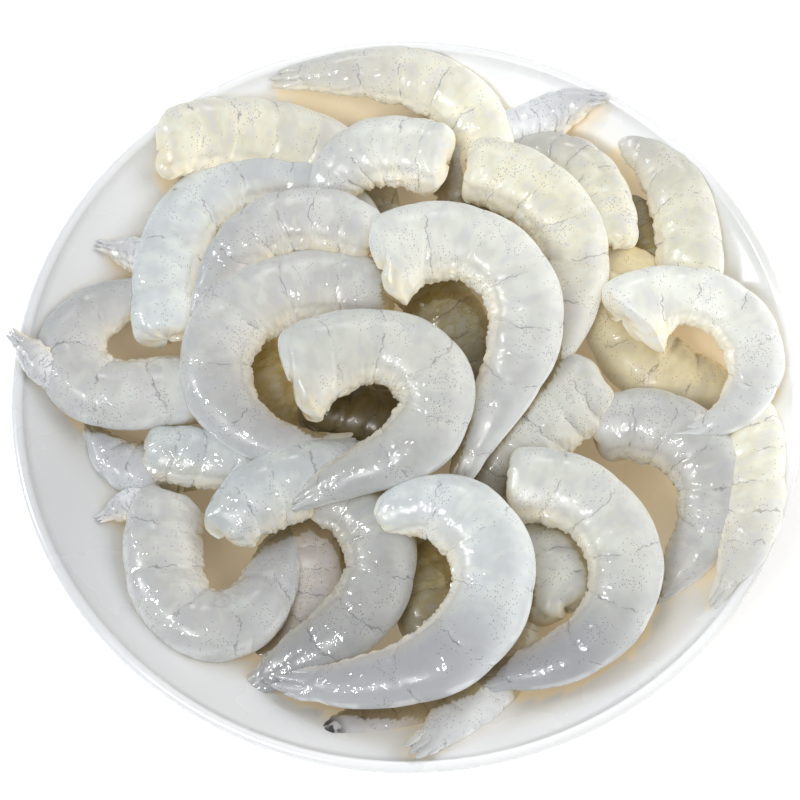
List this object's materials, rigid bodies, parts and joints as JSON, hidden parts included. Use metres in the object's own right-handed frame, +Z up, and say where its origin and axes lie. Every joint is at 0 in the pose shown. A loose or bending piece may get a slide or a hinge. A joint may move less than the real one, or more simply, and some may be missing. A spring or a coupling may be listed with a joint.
{
  "type": "dish of peeled shrimp",
  "caption": "A heap of raw, peeled, headless whiteleg shrimp curled over one another on a round, shallow white dish",
  "frame": {"origin": "the middle of the dish's foot, on the surface that the dish stands on", "axes": "+Z up; -Y is the side of the dish nearest the viewer of the picture, +X is that viewer's right"},
  "size_m": [0.2, 0.2, 0.051],
  "materials": {
    "glaze": "gloss",
    "flesh_white": "satin",
    "flesh_grey": "satin",
    "flesh_blue": "satin",
    "flesh_cream": "satin",
    "flesh_pink": "satin",
    "flesh_clear": "satin",
    "flesh_dark": "satin"
  },
  "bodies": {
    "root": {"dish": "glaze", "shrimp_floor_left": "flesh_dark", "shrimp_floor_right": "flesh_dark", "shrimp_floor_front": "flesh_dark", "shrimp_front_left_under": "flesh_pink", "shrimp_front_under": "flesh_dark", "shrimp_back_under": "flesh_clear", "shrimp_back_right_under": "flesh_dark", "shrimp_left_wall_tail": "flesh_clear", "shrimp_dark_tail": "flesh_pink", "shrimp_front_tail": "flesh_grey", "shrimp_back_right_tail": "flesh_clear", "shrimp_left_edge_tail": "flesh_clear", "shrimp_left_tip": "flesh_clear", "shrimp_front_left_tip": "flesh_clear", "shrimp_front_left_ring": "flesh_grey", "shrimp_right_wall": "flesh_cream", "shrimp_right_under": "flesh_cream", "shrimp_inner_right": "flesh_white", "shrimp_back_left_block": "flesh_cream", "shrimp_back_arch": "flesh_cream", "shrimp_back_right_curl": "flesh_cream", "shrimp_left_edge_curl": "flesh_grey", "shrimp_front_left_stub": "flesh_blue", "shrimp_middle_right": "flesh_white", "shrimp_centre_under_back": "flesh_dark", "shrimp_centre_under": "flesh_dark", "shrimp_right_ring": "flesh_grey", "shrimp_back_block": "flesh_white", "shrimp_front_speckled": "flesh_grey", "shrimp_left_arch": "flesh_blue", "shrimp_back_lobes": "flesh_white", "shrimp_torn_end": "flesh_blue", "shrimp_big_left_curl": "flesh_grey", "shrimp_back_right_arc": "flesh_cream", "shrimp_back_left_tail": "flesh_grey", "shrimp_right_hook": "flesh_white", "shrimp_front_right_ring": "flesh_white", "shrimp_front_ring": "flesh_blue", "shrimp_back_ring": "flesh_white", "shrimp_centre_ring": "flesh_white"}
  },
  "joints": []
}
